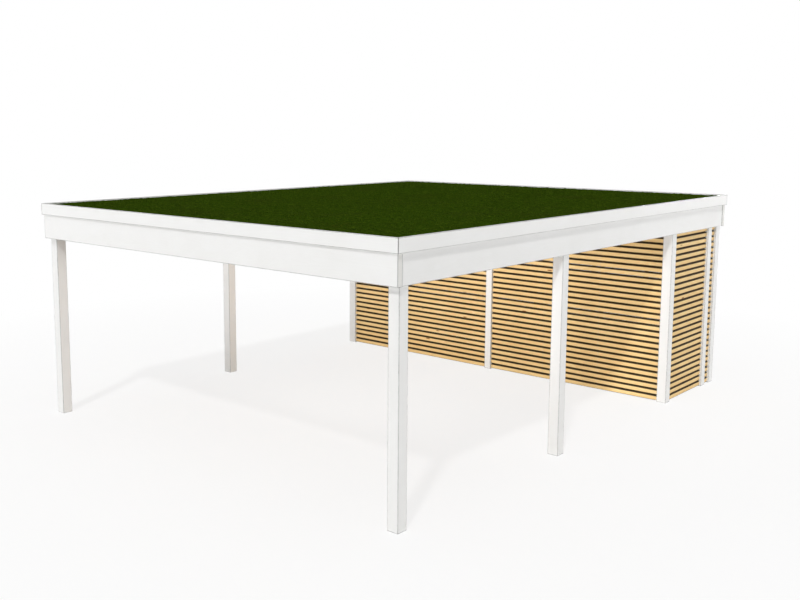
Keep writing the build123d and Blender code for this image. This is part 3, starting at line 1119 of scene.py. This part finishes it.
def leaves():
    material, tree, shader, place = start_material("stonecrop_leaves")
    tone = put(tree, "ShaderNodeAttribute", attribute_name="tone")["Fac"]
    tip = put(tree, "ShaderNodeAttribute", attribute_name="tip")["Fac"]
    patches = soft_noise(tree, place, 1.4, 3.0)
    drier = spread(tree, patches, 0.55, 0.8)
    colour = tinted(tree, LEAF_GREEN, (tone, 1.0, LEAF_OLIVE), (tip, 0.6, LEAF_TIP), (drier, 0.5, LEAF_DRY))
    rough = spread(tree, tip, 0.0, 1.0, 0.75, 0.6)
    feed(tree, shader, {"Base Color": colour, "Roughness": rough, "Specular IOR Level": 0.0})
    return material


MOSS, LEAVES = moss(), leaves()
slab = bed_slab()
slab.data.materials.append(MOSS)
join_frame(slab, "planting", "planting")

# %% [markdown]
# ## One plant, and thousands
# Stonecrop grows as a rosette: an outer ring of leaves that lie flat and an inner ring that stands up. A
# leaf is a kite of four triangles, which is all that thousands of plants allow. Two rosettes with other
# counts and lengths of leaf keep the mat from looking stamped.

# %% Rosettes
BROAD_RINGS = [(6, 0.033, 0.014, 10), (4, 0.018, 0.011, 34)]
NARROW_RINGS = [(5, 0.026, 0.008, 18), (4, 0.015, 0.007, 40)]
KITE_FACES = ((0, 1, 2), (1, 3, 2), (0, 3, 1), (0, 2, 3))
WIDEST_AT, DISH = 0.55, 0.15


def rosette(name, rings):
    """Rings of (leaf count, length, width, lift in degrees). Attribute tip runs from 0 to 1 along a leaf."""
    form = bmesh.new()
    tip = form.verts.layers.float.new("tip")
    for ring, (count, length, width, lift) in enumerate(rings):
        reach = length * math.cos(math.radians(lift))
        climb = length * math.sin(math.radians(lift))
        side = (reach * WIDEST_AT, width / 2, climb * WIDEST_AT + width * DISH)
        kite = [(0, 0, 0), (side[0], -side[1], side[2]), side, (reach, 0, climb)]
        for leaf in range(count):
            turn = Matrix.Rotation(FULL_TURN * (leaf + ring / 2) / count, 4, "Z")
            corners = [form.verts.new(turn @ Vector(place)) for place in kite]
            for corner, share in zip(corners, (0.0, 0.5, 0.5, 1.0)):
                corner[tip] = share
            for face in KITE_FACES:
                form.faces.new([corners[index] for index in face])
    bmesh.ops.recalc_face_normals(form, faces=form.faces)
    return add_object(name, mesh_from(form, name))


BROAD = rosette("broad_rosette", BROAD_RINGS)
NARROW = rosette("narrow_rosette", NARROW_RINGS)
print("triangles of the plants:", len(BROAD.data.polygons), len(NARROW.data.polygons))

# %% Plants on the bed
SPIN_SEED, SIZE_SEED, KIND_SEED = 3, 7, 9
LEAST_SIZE = 0.6


def plants_tree():
    inputs = {"Bed": "geometry", "Spacing": "value", "Broad": "object", "Narrow": "object"}
    inputs |= {"Seed": "count", "Material": "material"}
    tree, given, result = geometry_group("Plants on the bed", inputs, "Plants")
    density = maths(tree, "DIVIDE", 2.0, maths(tree, "POWER", given["Spacing"], 2.0))
    scatter = {"Mesh": given["Bed"], "Distance Min": given["Spacing"], "Density Max": density}
    scatter["Seed"] = given["Seed"]
    points = put(tree, "GeometryNodeDistributePointsOnFaces", scatter, distribute_method="POISSON")["Points"]
    kinds = put(tree, "GeometryNodeJoinGeometry")[0]
    for name in ("Narrow", "Broad"):
        plant = put(tree, "GeometryNodeObjectInfo", {"Object": given[name], "As Instance": True})["Geometry"]
        feed(tree, kinds.node, {0: plant})
    placing = {
        "Points": points,
        "Instance": kinds,
        "Pick Instance": True,
        "Instance Index": maths(tree, "FLOOR", chance(tree, KIND_SEED, 0.0, 1.99)),
        "Rotation": any_turn(tree, SPIN_SEED),
        "Scale": chance(tree, SIZE_SEED, LEAST_SIZE, 1.0),
    }
    plants = put(tree, "GeometryNodeInstanceOnPoints", placing)[0]
    feed(tree, result, {"Plants": stamp(tree, plants, given["Seed"], given["Material"])})
    return tree


PLANTS = plants_tree()
print("tree:", PLANTS.name, len(PLANTS.nodes), "nodes")

# %% Plant the four quarters
PLANT_SPACING = 0.037
PLANT_EDGE = 0.034
PLANT_SEED = 80
middle_x, middle_y = (BED_LOW.x + BED_HIGH.x) / 2, (BED_LOW.y + BED_HIGH.y) / 2
low_x, high_x = BED_LOW.x + PLANT_EDGE, BED_HIGH.x - PLANT_EDGE
low_y, high_y = BED_LOW.y + PLANT_EDGE, BED_HIGH.y - PLANT_EDGE
QUARTERS = {
    "front_left": (low_x, low_y, middle_x, middle_y),
    "front_right": (middle_x, low_y, high_x, middle_y),
    "back_left": (low_x, middle_y, middle_x, high_y),
    "back_right": (middle_x, middle_y, high_x, high_y),
}
for seed, (quarter, corners) in enumerate(QUARTERS.items()):
    patch = mesh_from(bed_patch(*corners), "patch")
    plant_values = {"Spacing": PLANT_SPACING, "Broad": BROAD, "Narrow": NARROW}
    plant_values |= {"Seed": PLANT_SEED + seed, "Material": LEAVES}
    join_frame(grow("plants_" + quarter, PLANTS, plant_values, patch), "planting", "planting")

# %% Take the patterns away
for pattern in (*HEADS.values(), BROAD, NARROW):
    bpy.data.objects.remove(pattern)

# %% [markdown]
# ## Floor
# The carport stands on a pale floor without a horizon. A floor that is lit to pure white would need so much
# light that the white posts would be lost, so only what the camera sees of it is lifted, with Light Path.
# Near the carport it keeps its shadow, and further out it is as white as the world behind it.

# %% Floor
FLOOR_REACH = 150
FLOOR_LIFT = 0.80
FADE_START, FADE_END = 4.5, 9.0
FLOOR_DARK, FLOOR_PALE, PURE_WHITE = (0.60, 0.60, 0.60), (0.64, 0.64, 0.64), (1, 1, 1)


def seen_by_camera(tree):
    """1 for what the camera sees, directly or mirrored, and 0 for what only lights something else."""
    path = put(tree, "ShaderNodeLightPath")
    return maths(tree, "MAXIMUM", path["Is Camera Ray"], path["Is Glossy Ray"])


quarters = ((-1, -1), (1, -1), (1, 1), (-1, 1))
corners = [(x * FLOOR_REACH, y * FLOOR_REACH, 0) for x, y in quarters]
floor = add_object("floor", mesh_of("floor", corners, [(0, 1, 2, 3)]))

material, tree, shader, place = start_material("pale_floor")
seen = seen_by_camera(tree)
pale = blend(tree, soft_noise(tree, place, 30.0, 3.0), FLOOR_DARK, FLOOR_PALE)
feed(tree, shader, {"Base Color": blend(tree, seen, pale, PURE_WHITE), "Roughness": 0.9})
white_out = put(tree, "ShaderNodeEmission", {"Color": (*PURE_WHITE, 1), "Strength": 1.0})[0]
distance = put(tree, "ShaderNodeVectorMath", {0: place}, operation="LENGTH")["Value"]
lift = times(tree, seen, spread(tree, distance, FADE_START, FADE_END, FLOOR_LIFT, 1.0))
mixed = put(tree, "ShaderNodeMixShader", {0: lift, 1: shader.outputs[0], 2: white_out})[0]
tree.links.new(mixed, tree.nodes["Material Output"].inputs["Surface"])
floor.data.materials.append(material)
print("floor:", 2 * FLOOR_REACH, "m square")

# %% [markdown]
# ## Light
# The light is plain and soft: a weak sky, and lamps so far off that they have only a direction. Most of them
# lie low on the horizon, in a fan of three to a side, so that they shine in under the beams and no post
# throws a hard shadow. One lamp from high up in front, the key, draws the shadow line under the cap boards.
# All this leaves the store's front wall dull, far under the roof as it is, so a wide soft lamp under the
# front beam lights it. Its spread is narrow, or the middle posts, which stand close to it, would turn white.
# A far lamp's strength is written as a share of the plain level, at which a surface shows its own colour.

# %% Light
SKY_SHARE = 0.12
SIDE_SHARES = {"front": (0.31, 0), "right": (0.31, 90), "back": (0.46, 180), "left": (0.42, 270)}
TOP_SHARE = 0.22
KEY_SHARE = 0.44
FAN = (-22, 0, 22)
FAN_HEIGHT, FAN_SOFTNESS = 2.5, 5
WALL_LAMP_WATTS = 36
WALL_LAMP_SIZE = (3.0, 0.5)
WALL_LAMP_SPREAD = 110
WALL_LAMP_PLACE = (-0.15, -3.0, 1.6)


def lamp(name, share, elevation, turn, softness):
    """A distant lamp. Turn 0 shines from the front, 90 from the right."""
    data = bpy.data.lights.new(name, "SUN")
    data.energy = share * math.pi
    data.angle = math.radians(softness)
    made = add_object(name, data)
    made.rotation_euler = (math.radians(90 - elevation), 0, math.radians(turn))


for side, (share, turn) in SIDE_SHARES.items():
    for offset in FAN:
        lamp(f"{side}_{offset}", share / len(FAN), FAN_HEIGHT, turn + offset, FAN_SOFTNESS)
lamp("top", TOP_SHARE, elevation=86, turn=20, softness=60)
lamp("key", KEY_SHARE, elevation=48, turn=25, softness=4)

data = bpy.data.lights.new("wall_lamp", "AREA")
data.shape = "RECTANGLE"
data.size, data.size_y = WALL_LAMP_SIZE
data.spread = math.radians(WALL_LAMP_SPREAD)
data.energy = WALL_LAMP_WATTS
wall_lamp = add_object("wall_lamp", data)
wall_lamp.location = WALL_LAMP_PLACE
wall_lamp.rotation_euler = (math.radians(90), 0, 0)
wall_lamp.visible_camera = False

world = bpy.data.worlds.new("studio")
bpy.context.scene.world = world
world.use_nodes = True
tree = world.node_tree
strength = spread(tree, seen_by_camera(tree), 0.0, 1.0, SKY_SHARE, 1.0)
feed(tree, tree.nodes["Background"], {"Color": (*PURE_WHITE, 1), "Strength": strength})
bpy.context.scene.view_settings.view_transform = "Standard"
